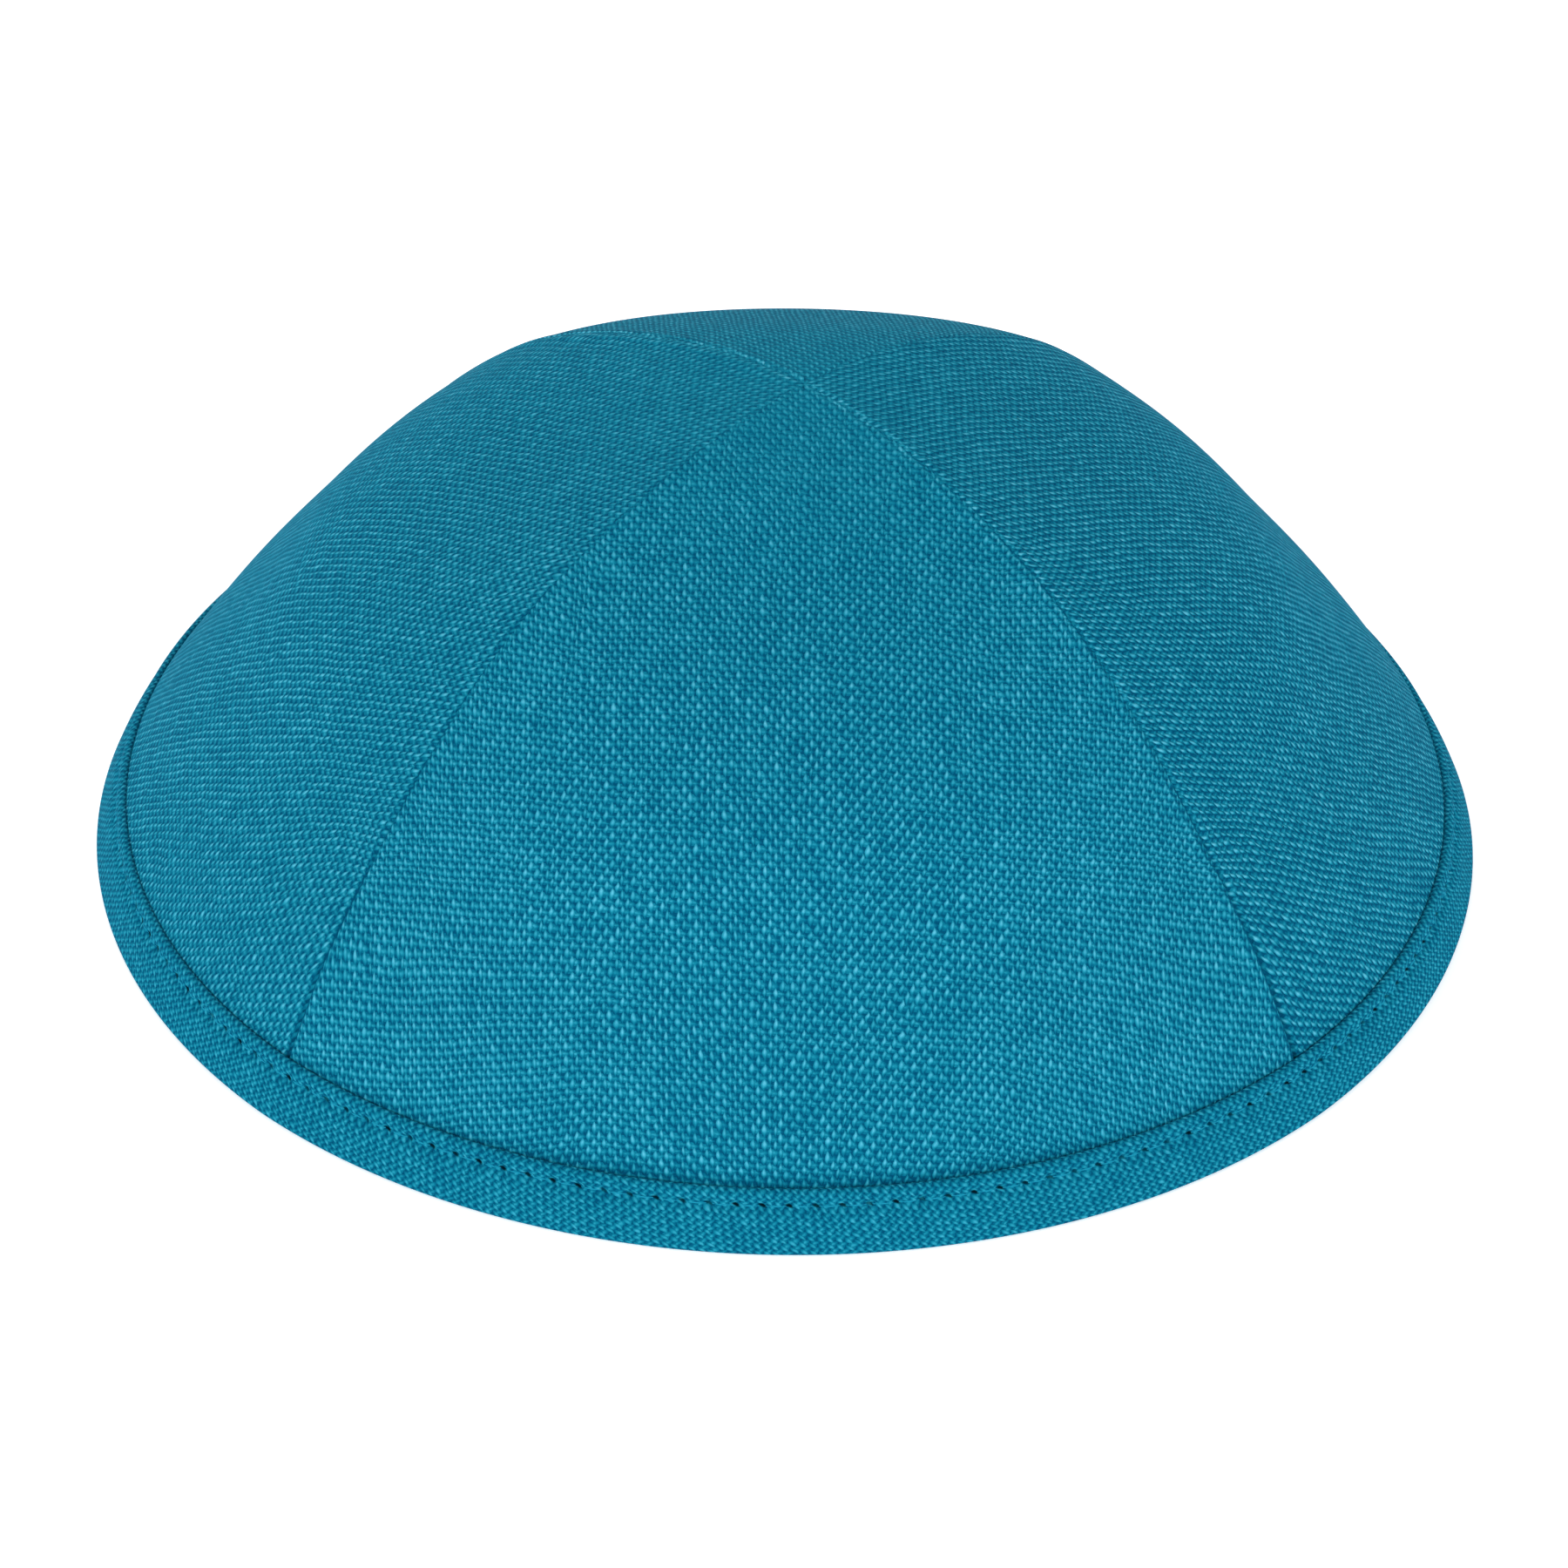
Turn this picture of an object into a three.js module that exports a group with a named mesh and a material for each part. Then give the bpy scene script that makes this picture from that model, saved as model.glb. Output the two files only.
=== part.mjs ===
// A four-panel linen skullcap standing on its rim, in millimetres, +Z up.
// Four panels meet at the crown, and a bias tape folded round their lower edge binds the rim.
// The origin is the centre of the rim on the surface that the cap rests on.
// The front panel faces -Y, and the seams run down at 45 degrees between the axes.
import * as THREE from "three";

// Half of the cap's profile from the crown to the rim, once down a seam and once down the middle
// of a panel. The panels are flatter than the seams, so the dome is a little square.
const SECTIONS = [
  { seamRadius: 0, seamHeight: 60, middleRadius: 0, middleHeight: 60 },
  { seamRadius: 15.3, seamHeight: 58.4, middleRadius: 15, middleHeight: 57.5 },
  { seamRadius: 30.1, seamHeight: 54.1, middleRadius: 29.4, middleHeight: 51.7 },
  { seamRadius: 43.7, seamHeight: 47.3, middleRadius: 43.2, middleHeight: 44.8 },
  { seamRadius: 55.6, seamHeight: 37.6, middleRadius: 55.1, middleHeight: 36 },
  { seamRadius: 66.2, seamHeight: 26, middleRadius: 64.9, middleHeight: 24.3 },
  { seamRadius: 73.6, seamHeight: 16.6, middleRadius: 72.3, middleHeight: 15.4 },
  { seamRadius: 79.3, seamHeight: 6.7, middleRadius: 78.6, middleHeight: 6.6 },
  { seamRadius: 82.5, seamHeight: 0, middleRadius: 82, middleHeight: 0 },
];
const RIM = SECTIONS.length - 1; // the row of the table at the rim; the row above it is the top of the binding
const CROWN_HEIGHT = SECTIONS[0].seamHeight;
const CROWN_DRIFT = 1.5; // the seams cross this far to the right of the middle
const DRIFT_POWER = 6; // how soon the drift dies out below the crown

const CLOTH = 1.2; // linen with its turned seam allowance
const GAP = 0.25; // between pieces that are sewn together
const TAPE = 1; // the binding's two layers, pressed flat
const TAPE_WIDTH = 7.4; // up the outside of the cap
const TAPE_FOLD = 0.5; // height of the rounded edge on top of each leg
const TAPE_FOOT = 1.3; // solid tape under the panels' raw edge
const FOOT_ROUNDING = 0.5;
const TIP_RADIUS = 0.4; // where the panels' points end, beside the crossing of the seams

const PANEL_ROWS = 18;
const PANEL_COLUMNS = 16;
const BINDING_STEPS = 96;

const QUARTER = Math.PI / 2;
const PANELS = [
  { name: "panel_front", facing: -QUARTER },
  { name: "panel_right", facing: 0 },
  { name: "panel_back", facing: QUARTER },
  { name: "panel_left", facing: 2 * QUARTER },
];

const panelLinen = new THREE.MeshStandardMaterial({ color: 0x187d9b, roughness: 0.9, metalness: 0 });
const bindingLinen = new THREE.MeshStandardMaterial({ color: 0x1a7c99, roughness: 0.9, metalness: 0 });

// A smooth curve through one pair of columns of the table. The row before the crown is the mirror
// of the one after it, so the crown is level.
function profileCurve(radiusColumn, heightColumn) {
  const points = SECTIONS.map((row) => new THREE.Vector3(row[radiusColumn], 0, row[heightColumn]));
  const mirrored = points[1].clone().multiply(new THREE.Vector3(-1, 1, 1));
  return new THREE.CatmullRomCurve3([mirrored, ...points], false, "centripetal");
}

const seamProfile = profileCurve("seamRadius", "seamHeight");
const middleProfile = profileCurve("middleRadius", "middleHeight");

// Radius (x) and height (z) at a row of the table, which may be a fraction, and at an azimuth.
function profileAt(row, azimuth) {
  const along = (row + 1) / (RIM + 1);
  const fromMiddle = Math.abs(azimuth - QUARTER * Math.round(azimuth / QUARTER));
  const seamShare = 1 - Math.cos(2 * fromMiddle);
  return middleProfile.getPoint(along).lerp(seamProfile.getPoint(along), seamShare);
}

// The profile's outward direction in its own upright plane.
function outwardAt(row, azimuth) {
  const step = 0.01;
  const above = profileAt(row - step, azimuth);
  const below = profileAt(Math.min(row + step, RIM), azimuth);
  const run = below.sub(above).normalize();
  return new THREE.Vector3(-run.z, 0, run.x);
}

// A point of the upright plane at an azimuth, turned into place with the crown's drift.
function placed(radius, height, azimuth) {
  const drift = CROWN_DRIFT * Math.min(height / CROWN_HEIGHT, 1) ** DRIFT_POWER;
  return new THREE.Vector3(radius * Math.cos(azimuth) + drift, radius * Math.sin(azimuth), height);
}

// A point of the cap a distance out from the panels' outer face, or in from it when negative.
function capPoint(row, azimuth, out) {
  const onFace = profileAt(row, azimuth);
  const offset = onFace.clone().addScaledVector(outwardAt(row, azimuth), out);
  const point = placed(onFace.x, onFace.z, azimuth);
  const radial = new THREE.Vector3(Math.cos(azimuth), Math.sin(azimuth), 0);
  point.addScaledVector(radial, offset.x - onFace.x);
  point.z = offset.z;
  return point;
}

// The same where the cap stands on its surface.
function footPoint(azimuth, out) {
  const radius = profileAt(RIM, azimuth).x + out / outwardAt(RIM, azimuth).x;
  return new THREE.Vector3(radius * Math.cos(azimuth), radius * Math.sin(azimuth), 0);
}

// The row of the table that lies a distance up the slope from that surface.
function rowAbove(up, azimuth, out) {
  const outward = outwardAt(RIM, azimuth);
  const fromRim = up - (out * outward.z) / outward.x;
  return RIM - Math.max(fromRim, 0) / TAPE_WIDTH;
}

function geometryOf(points, triangles) {
  const geometry = new THREE.BufferGeometry().setFromPoints(points);
  geometry.setIndex(triangles.flat());
  geometry.computeVertexNormals();
  return geometry;
}

// One closed solid between two grids of points, the outer and the inner face of a panel.
function wallBetween(outerPoint, innerPoint, rows, columns) {
  const points = [];
  for (const facePoint of [outerPoint, innerPoint]) {
    for (let row = 0; row <= rows; row++) {
      for (let column = 0; column <= columns; column++) {
        points.push(facePoint(row / rows, column / columns));
      }
    }
  }
  const inner = points.length / 2;
  const corner = (row, column) => row * (columns + 1) + column;
  const triangles = [];
  for (let row = 0; row < rows; row++) {
    for (let column = 0; column < columns; column++) {
      const a = corner(row, column);
      const b = corner(row + 1, column);
      const c = corner(row + 1, column + 1);
      const d = corner(row, column + 1);
      triangles.push([a, b, c], [a, c, d]);
      triangles.push([inner + a, inner + c, inner + b], [inner + a, inner + d, inner + c]);
    }
  }
  const border = [];
  for (let row = 0; row < rows; row++) border.push(corner(row, 0));
  for (let column = 0; column < columns; column++) border.push(corner(rows, column));
  for (let row = rows; row > 0; row--) border.push(corner(row, columns));
  for (let column = columns; column > 0; column--) border.push(corner(0, column));
  border.forEach((a, i) => {
    const b = border[(i + 1) % border.length];
    triangles.push([a, inner + a, inner + b], [a, inner + b, b]);
  });
  return geometryOf(points, triangles);
}

// One quarter of the dome, from its point at the crown down into the fold of the binding.
function panelGeometry(facing) {
  const topRow = TIP_RADIUS / SECTIONS[1].middleRadius;
  const facePoint = (out) => (down, across) => {
    const bottomRow = rowAbove(TAPE_FOOT + GAP, facing, out);
    const row = THREE.MathUtils.lerp(topRow, bottomRow, down);
    const radius = profileAt(row, facing).x;
    const halfWidth = QUARTER / 2 - Math.asin(GAP / 2 / radius);
    return capPoint(row, facing + halfWidth * (2 * across - 1), out);
  };
  return wallBetween(facePoint(0), facePoint(-CLOTH), PANEL_ROWS, PANEL_COLUMNS);
}

// The bias tape round the rim: an outer leg, a foot and an inner leg, with the panels' raw edge
// between the legs. Its section is listed round, as distances up the cap and out of the panels.
function bindingGeometry() {
  const outside = GAP + TAPE;
  const inside = -CLOTH - GAP - TAPE;
  const shoulder = TAPE_WIDTH - TAPE_FOLD;
  const section = [
    { up: FOOT_ROUNDING, out: outside },
    { up: TAPE_WIDTH / 3, out: outside },
    { up: (2 * TAPE_WIDTH) / 3, out: outside },
    { up: shoulder, out: outside },
    { up: TAPE_WIDTH, out: GAP + TAPE / 2 },
    { up: shoulder, out: GAP },
    { up: TAPE_FOOT, out: GAP },
    { up: TAPE_FOOT, out: -CLOTH - GAP },
    { up: shoulder, out: -CLOTH - GAP },
    { up: TAPE_WIDTH, out: -CLOTH - GAP - TAPE / 2 },
    { up: shoulder, out: inside },
    { up: TAPE_WIDTH / 2, out: inside },
    { up: FOOT_ROUNDING, out: inside },
  ];
  const feet = [inside + FOOT_ROUNDING, outside - FOOT_ROUNDING];
  const points = [];
  for (let step = 0; step < BINDING_STEPS; step++) {
    const azimuth = (step / BINDING_STEPS) * 4 * QUARTER;
    for (const corner of section) {
      const row = rowAbove(corner.up, azimuth, corner.out);
      points.push(capPoint(row, azimuth, corner.out));
    }
    for (const out of feet) points.push(footPoint(azimuth, out));
  }
  const around = section.length + feet.length;
  const triangles = [];
  for (let step = 0; step < BINDING_STEPS; step++) {
    const next = (step + 1) % BINDING_STEPS;
    for (let corner = 0; corner < around; corner++) {
      const following = (corner + 1) % around;
      const a = step * around + corner;
      const b = next * around + corner;
      const c = next * around + following;
      const d = step * around + following;
      triangles.push([a, b, c], [a, c, d]);
    }
  }
  return geometryOf(points, triangles);
}

const cap = new THREE.Group();
for (const panel of PANELS) {
  const mesh = new THREE.Mesh(panelGeometry(panel.facing), panelLinen);
  mesh.name = panel.name;
  cap.add(mesh);
}

const binding = new THREE.Mesh(bindingGeometry(), bindingLinen);
binding.name = "rim_binding";
cap.add(binding);

export default cap;
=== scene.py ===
# A plain linen skullcap of four panels with a bound rim, standing on a pale floor.
# Everything is in metres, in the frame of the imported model: the cap rests at height 0, its crown is
# up +Z, and the middle of the front panel faces -Y.
import math
from collections import namedtuple

import bpy
import numpy as np
from mathutils import Matrix, Vector


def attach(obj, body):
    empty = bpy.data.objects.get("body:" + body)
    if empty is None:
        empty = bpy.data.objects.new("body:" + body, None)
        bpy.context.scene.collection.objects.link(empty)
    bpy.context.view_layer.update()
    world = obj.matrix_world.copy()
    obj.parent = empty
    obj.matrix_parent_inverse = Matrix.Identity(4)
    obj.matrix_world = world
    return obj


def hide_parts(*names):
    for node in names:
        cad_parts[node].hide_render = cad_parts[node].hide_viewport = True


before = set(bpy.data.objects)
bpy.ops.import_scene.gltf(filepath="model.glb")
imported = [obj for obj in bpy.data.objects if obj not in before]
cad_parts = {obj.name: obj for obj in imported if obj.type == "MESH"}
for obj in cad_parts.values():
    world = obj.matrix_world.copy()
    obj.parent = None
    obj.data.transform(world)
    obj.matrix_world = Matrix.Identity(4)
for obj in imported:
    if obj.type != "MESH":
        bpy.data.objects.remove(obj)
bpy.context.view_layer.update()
scene = bpy.context.scene
MM = 0.001

# Camera
# The view is from the front and well above the rim, a long way back, with the cap rolled a little
# to the right in the picture, as it stands in the photograph.
CAMERA_ELEVATION = math.radians(33.4)
CAMERA_TURN = math.radians(-1.2)
CAMERA_ROLL = math.radians(0.78)
CAMERA_DISTANCE = 0.598
CAMERA_LENS_MM = 116.6
CAMERA_SENSOR_MM = 36
CAMERA_CLIP = (0.01, 20)
CAMERA_AROUND = Vector((0, 0, 0.030))
CAMERA_AIM = Vector((-0.0002, 0, 0.0038))

camera = bpy.data.objects.new("camera", bpy.data.cameras.new("camera"))
scene.collection.objects.link(camera)
camera.data.sensor_width = CAMERA_SENSOR_MM
camera.data.lens = CAMERA_LENS_MM
camera.data.clip_start, camera.data.clip_end = CAMERA_CLIP
level = math.cos(CAMERA_ELEVATION)
aside, forward = math.sin(CAMERA_TURN) * level, math.cos(CAMERA_TURN) * level
back = Vector((aside, -forward, math.sin(CAMERA_ELEVATION)))
eye = CAMERA_AROUND + back * CAMERA_DISTANCE
looking = (CAMERA_AIM - eye).normalized()
right = looking.cross(Vector((0, 0, 1))).normalized()
up = right.cross(looking)
rolled_right = right * math.cos(CAMERA_ROLL) + up * math.sin(CAMERA_ROLL)
rolled_up = up * math.cos(CAMERA_ROLL) - right * math.sin(CAMERA_ROLL)
turned = Matrix((rolled_right, rolled_up, -looking)).transposed()
camera.matrix_world = Matrix.Translation(eye) @ turned.to_4x4()
scene.camera = camera

# Floor and studio light
# A pale glowing floor that reads as white, two wide soft boxes in front to the left and the right,
# a weaker one behind, and an even pale surround.
FLOOR_SIZE = 20
FLOOR_COLOUR = (0.93, 0.93, 0.93, 1)
FLOOR_GLOW = 0.46
SURROUND_COLOUR = (0.97, 0.985, 1, 1)
SURROUND_STRENGTH = 0.46
SOFT_BOXES = [
    {"name": "left_box", "at": (-1.8, -1.2, 0.9), "size": 1.2, "power": 34},
    {"name": "right_box", "at": (1.8, -1.2, 0.75), "size": 1.2, "power": 30},
    {"name": "back_box", "at": (-0.3, 1.7, 0.9), "size": 1.2, "power": 14},
]

scene.view_settings.view_transform = "Standard"
world = bpy.data.worlds.new("surround")
scene.world = world
world.use_nodes = True
surround = world.node_tree.nodes["Background"]
surround.inputs["Color"].default_value = SURROUND_COLOUR
surround.inputs["Strength"].default_value = SURROUND_STRENGTH

half = FLOOR_SIZE / 2
floor_corners = [(-half, -half, 0), (half, -half, 0), (half, half, 0), (-half, half, 0)]
floor_mesh = bpy.data.meshes.new("floor")
floor_mesh.from_pydata(floor_corners, [], [(0, 1, 2, 3)])
floor = bpy.data.objects.new("floor", floor_mesh)
scene.collection.objects.link(floor)
floor_paint = bpy.data.materials.new("pale floor")
floor_paint.use_nodes = True
floor_surface = floor_paint.node_tree.nodes["Principled BSDF"]
floor_surface.inputs["Base Color"].default_value = FLOOR_COLOUR
floor_surface.inputs["Roughness"].default_value = 0.9
floor_surface.inputs["Specular IOR Level"].default_value = 0
floor_surface.inputs["Emission Color"].default_value = (1, 1, 1, 1)
floor_surface.inputs["Emission Strength"].default_value = FLOOR_GLOW
floor_mesh.materials.append(floor_paint)

for box in SOFT_BOXES:
    lamp = bpy.data.objects.new(box["name"], bpy.data.lights.new(box["name"], "AREA"))
    lamp.data.size = box["size"]
    lamp.data.energy = box["power"]
    lamp.location = box["at"]
    lamp.rotation_euler = (-Vector(box["at"])).to_track_quat("-Z", "Y").to_euler()
    scene.collection.objects.link(lamp)

# Linen cloth
# Plain weave of uneven flax yarn, dyed teal. The warp runs down the middle of each panel. It is finer
# than the weft and stands prouder; its floats show as pale dashes in a chequer pattern, painted lighter the
# higher they stand, with painted shade low between the yarns.
# Half widths are shares of the pitch. A grain is the number of noise patches to a yarn, each way.
Yarn = namedtuple("Yarn", "pitch thin thick taper rise side seed")
WARP = Yarn(pitch=0.62 * MM, thin=0.36, thick=0.50, taper=0.28, rise=0.55, side=1, seed=3.7)
WEFT = Yarn(pitch=0.82 * MM, thin=0.29, thick=0.44, taper=0.22, rise=0.24, side=-1, seed=91.2)
YARN_ROUND = 0.75
YARN_POINT = 1.5
YARN_APART = 7.31
SLUB_GRAIN = (1.0, 0.16)
SLUB_SPREAD = 0.20
TEARDROP = 0.10
JITTER = 0.12
LEAN_DRIFT = 0.6
LEAN_GRAIN = (0.02, 0.015)
LEAN_VARIATION = 0.12
MEAN_SHADE = 0.50
# Painted highlight at the upper end of each float and painted shade at its lower end, as if lit from above.
PAINTED_END_LIGHT_AND_SHADE = 0.34
FLOAT_VARIATION = 0.30
YARN_VARIATION = 0.36
YARN_GRAIN = (3.0, 0.07)
FIBRE_VARIATION = 0.40
FIBRE_GRAIN = (3.2, 1.8)
# Painted shade in the gaps where neither yarn covers.
GAP_PAINTED_SHADE = 0.14
GAP_BELOW = 0.1
YARN_RELIEF = 0.22 * MM
YARN_SWAY = 0.9
WARP_SWAY_GRAIN = (0.30, 0.07)
WEFT_SWAY_GRAIN = (0.07, 0.30)
# Toward a panel's sides the weft drops less and shows more, in the bump and in the colour; the paler colour
# there is painted sheen of the weft under the side light.
WEFT_SHOWS_FROM = 8 * MM
WEFT_SHOWS_AT = 40 * MM
# Colours by shade: the low end is painted shade between the yarns, the high end painted highlight on the float
# tops.
LINEN_SHADES = [
    {"height": 0.00, "colour": (0.000, 0.070, 0.150, 1)},
    {"height": 0.25, "colour": (0.001, 0.126, 0.222, 1)},
    {"height": 0.50, "colour": (0.005, 0.203, 0.308, 1)},
    {"height": 0.68, "colour": (0.018, 0.288, 0.415, 1)},
    {"height": 0.82, "colour": (0.044, 0.360, 0.510, 1)},
    {"height": 1.00, "colour": (0.100, 0.480, 0.645, 1)},
]


def put(tree, socket, source):
    """Links a socket, or sets a plain number on it."""
    if isinstance(source, bpy.types.NodeSocket):
        tree.links.new(source, socket)
    else:
        socket.default_value = source


def calculate(tree, operation, *sources):
    node = tree.nodes.new("ShaderNodeMath")
    node.operation = operation
    for socket, source in zip(node.inputs, sources):
        put(tree, socket, source)
    return node.outputs[0]


def between(tree, source, low, high, to_low, to_high):
    node = tree.nodes.new("ShaderNodeMapRange")
    names = ("Value", "From Min", "From Max", "To Min", "To Max")
    for name, value in zip(names, (source, low, high, to_low, to_high)):
        put(tree, node.inputs[name], value)
    return node.outputs["Result"]


def paired(tree, x, y):
    vector = tree.nodes.new("ShaderNodeCombineXYZ")
    put(tree, vector.inputs["X"], x)
    put(tree, vector.inputs["Y"], y)
    return vector.outputs[0]


def plane_noise(tree, x, y, grain, detail=1.0):
    """Noise around 0 whose grain may be stretched along x or y."""
    x_scale, y_scale = grain
    noise = tree.nodes.new("ShaderNodeTexNoise")
    noise.noise_dimensions = "2D"
    noise.inputs["Scale"].default_value = 1
    noise.inputs["Detail"].default_value = detail
    x_scaled = calculate(tree, "MULTIPLY", x, x_scale)
    y_scaled = calculate(tree, "MULTIPLY", y, y_scale)
    tree.links.new(paired(tree, x_scaled, y_scaled), noise.inputs["Vector"])
    return calculate(tree, "SUBTRACT", noise.outputs["Fac"], 0.5)


def varied(tree, chance, spread):
    """A chance from 0 to 1, made into a number within half the spread of 0."""
    return calculate(tree, "MULTIPLY_ADD", chance, spread, -spread / 2)


def yarns(tree, across, along, kind, lower, lean):
    """One set of yarns. across counts yarns and along counts crossings. Gives their height, and their tone
    with a painted highlight at the upper end of each float and painted shade at its lower end.
    """
    number = calculate(tree, "FLOOR", across)
    key = calculate(tree, "MULTIPLY_ADD", number, YARN_APART, kind.seed)
    slub = plane_noise(tree, key, along, SLUB_GRAIN, 2.0)
    half_width = between(tree, slub, -SLUB_SPREAD, SLUB_SPREAD, kind.thin, kind.thick)
    half_turns = calculate(tree, "ADD", calculate(tree, "SUBTRACT", along, 0.5), number)
    angle = calculate(tree, "MULTIPLY", half_turns, math.pi)
    wave = calculate(tree, "MULTIPLY", calculate(tree, "COSINE", angle), kind.side)
    slope = calculate(tree, "MULTIPLY", calculate(tree, "SINE", angle), kind.side)
    crossing = calculate(tree, "ROUND", calculate(tree, "MULTIPLY", half_turns, 0.5))
    chance = tree.nodes.new("ShaderNodeTexWhiteNoise")
    chance.noise_dimensions = "2D"
    tree.links.new(paired(tree, key, crossing), chance.inputs["Vector"])
    chances = tree.nodes.new("ShaderNodeSeparateColor")
    tree.links.new(chance.outputs["Color"], chances.inputs["Color"])
    leaning = calculate(tree, "ADD", varied(tree, chances.outputs["Green"], LEAN_VARIATION), lean)
    from_middle = calculate(tree, "SUBTRACT", calculate(tree, "FRACT", across), 0.5)
    from_middle = calculate(tree, "SUBTRACT", from_middle, calculate(tree, "MULTIPLY", slope, leaning))
    from_middle = calculate(tree, "ADD", from_middle, varied(tree, chances.outputs["Blue"], JITTER))
    narrowing = calculate(tree, "MULTIPLY_ADD", wave, kind.taper, 1 - kind.taper)
    narrowing = calculate(tree, "MULTIPLY_ADD", slope, TEARDROP, narrowing)
    half_width = calculate(tree, "MULTIPLY", half_width, narrowing)
    share = calculate(tree, "DIVIDE", from_middle, half_width)
    square = calculate(tree, "MULTIPLY", share, share)
    rounded = calculate(tree, "MAXIMUM", calculate(tree, "SUBTRACT", 1.0, square), 0.0)
    rounded = calculate(tree, "POWER", rounded, YARN_POINT)
    height = calculate(tree, "MULTIPLY_ADD", wave, kind.rise, calculate(tree, "SUBTRACT", 1.0, lower))
    height = calculate(tree, "MULTIPLY_ADD", rounded, YARN_ROUND, height)
    height = calculate(tree, "MULTIPLY", height, calculate(tree, "LESS_THAN", square, 1.0))
    float_tone = varied(tree, chances.outputs["Red"], FLOAT_VARIATION)
    yarn_tone = calculate(tree, "MULTIPLY", plane_noise(tree, key, along, YARN_GRAIN), YARN_VARIATION)
    tone = calculate(tree, "ADD", float_tone, yarn_tone)
    # Painted light and shade: the tone is lighter toward the upper end of each float and darker toward its
    # lower end.
    return height, calculate(tree, "MULTIPLY_ADD", slope, -PAINTED_END_LIGHT_AND_SHADE, tone)


def linen_weave_group():
    """Threads in: x counts warp yarns, y counts weft yarns. Height and shade out, both from 0 to 1. The shade
    is the yarns' own tone with painted light and shade: lighter the higher the yarn stands.
    """
    tree = bpy.data.node_groups.new("linen weave", "ShaderNodeTree")
    tree.interface.new_socket("Threads", in_out="INPUT", socket_type="NodeSocketVector")
    tree.interface.new_socket("Lean", in_out="INPUT", socket_type="NodeSocketFloat")
    tree.interface.new_socket("Weft Drop", in_out="INPUT", socket_type="NodeSocketFloat")
    tree.interface.new_socket("Height", in_out="OUTPUT", socket_type="NodeSocketFloat")
    tree.interface.new_socket("Shade", in_out="OUTPUT", socket_type="NodeSocketFloat")
    entry = tree.nodes.new("NodeGroupInput")
    leave = tree.nodes.new("NodeGroupOutput")
    apart = tree.nodes.new("ShaderNodeSeparateXYZ")
    tree.links.new(entry.outputs["Threads"], apart.inputs[0])
    x, y = apart.outputs["X"], apart.outputs["Y"]
    warp_sway = plane_noise(tree, x, y, WARP_SWAY_GRAIN, 2.0)
    weft_sway = plane_noise(tree, x, y, WEFT_SWAY_GRAIN, 2.0)
    x = calculate(tree, "MULTIPLY_ADD", warp_sway, YARN_SWAY, x)
    y = calculate(tree, "MULTIPLY_ADD", weft_sway, YARN_SWAY, y)
    lean = plane_noise(tree, x, y, LEAN_GRAIN)
    lean = calculate(tree, "MULTIPLY_ADD", lean, LEAN_DRIFT, entry.outputs["Lean"])
    warp, warp_tone = yarns(tree, x, y, WARP, 0, lean)
    weft, weft_tone = yarns(tree, y, x, WEFT, entry.outputs["Weft Drop"], 0)
    top = WARP.rise + YARN_ROUND
    highest = calculate(tree, "MAXIMUM", warp, weft)
    height = calculate(tree, "SUBTRACT", highest, 1.0)
    height = calculate(tree, "MAXIMUM", calculate(tree, "MULTIPLY", height, 1 / top), 0.0)
    tone = tree.nodes.new("ShaderNodeMix")
    tree.links.new(calculate(tree, "GREATER_THAN", warp, weft), tone.inputs["Factor"])
    tree.links.new(weft_tone, tone.inputs["A"])
    tree.links.new(warp_tone, tone.inputs["B"])
    fibre = plane_noise(tree, x, y, FIBRE_GRAIN, 2.0)
    # Painted light and shade: the colour is darker low between the yarns and lighter on the float tops.
    shade = calculate(tree, "ADD", height, tone.outputs["Result"])
    shade = calculate(tree, "MULTIPLY_ADD", fibre, FIBRE_VARIATION, shade)
    # Painted shade: the colour is darkened in the gaps where neither yarn covers.
    gap = calculate(tree, "LESS_THAN", highest, GAP_BELOW)
    shade = calculate(tree, "MULTIPLY_ADD", gap, -GAP_PAINTED_SHADE, shade)
    tree.links.new(height, leave.inputs["Height"])
    tree.links.new(shade, leave.inputs["Shade"])
    return tree


linen_weave = linen_weave_group()


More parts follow.
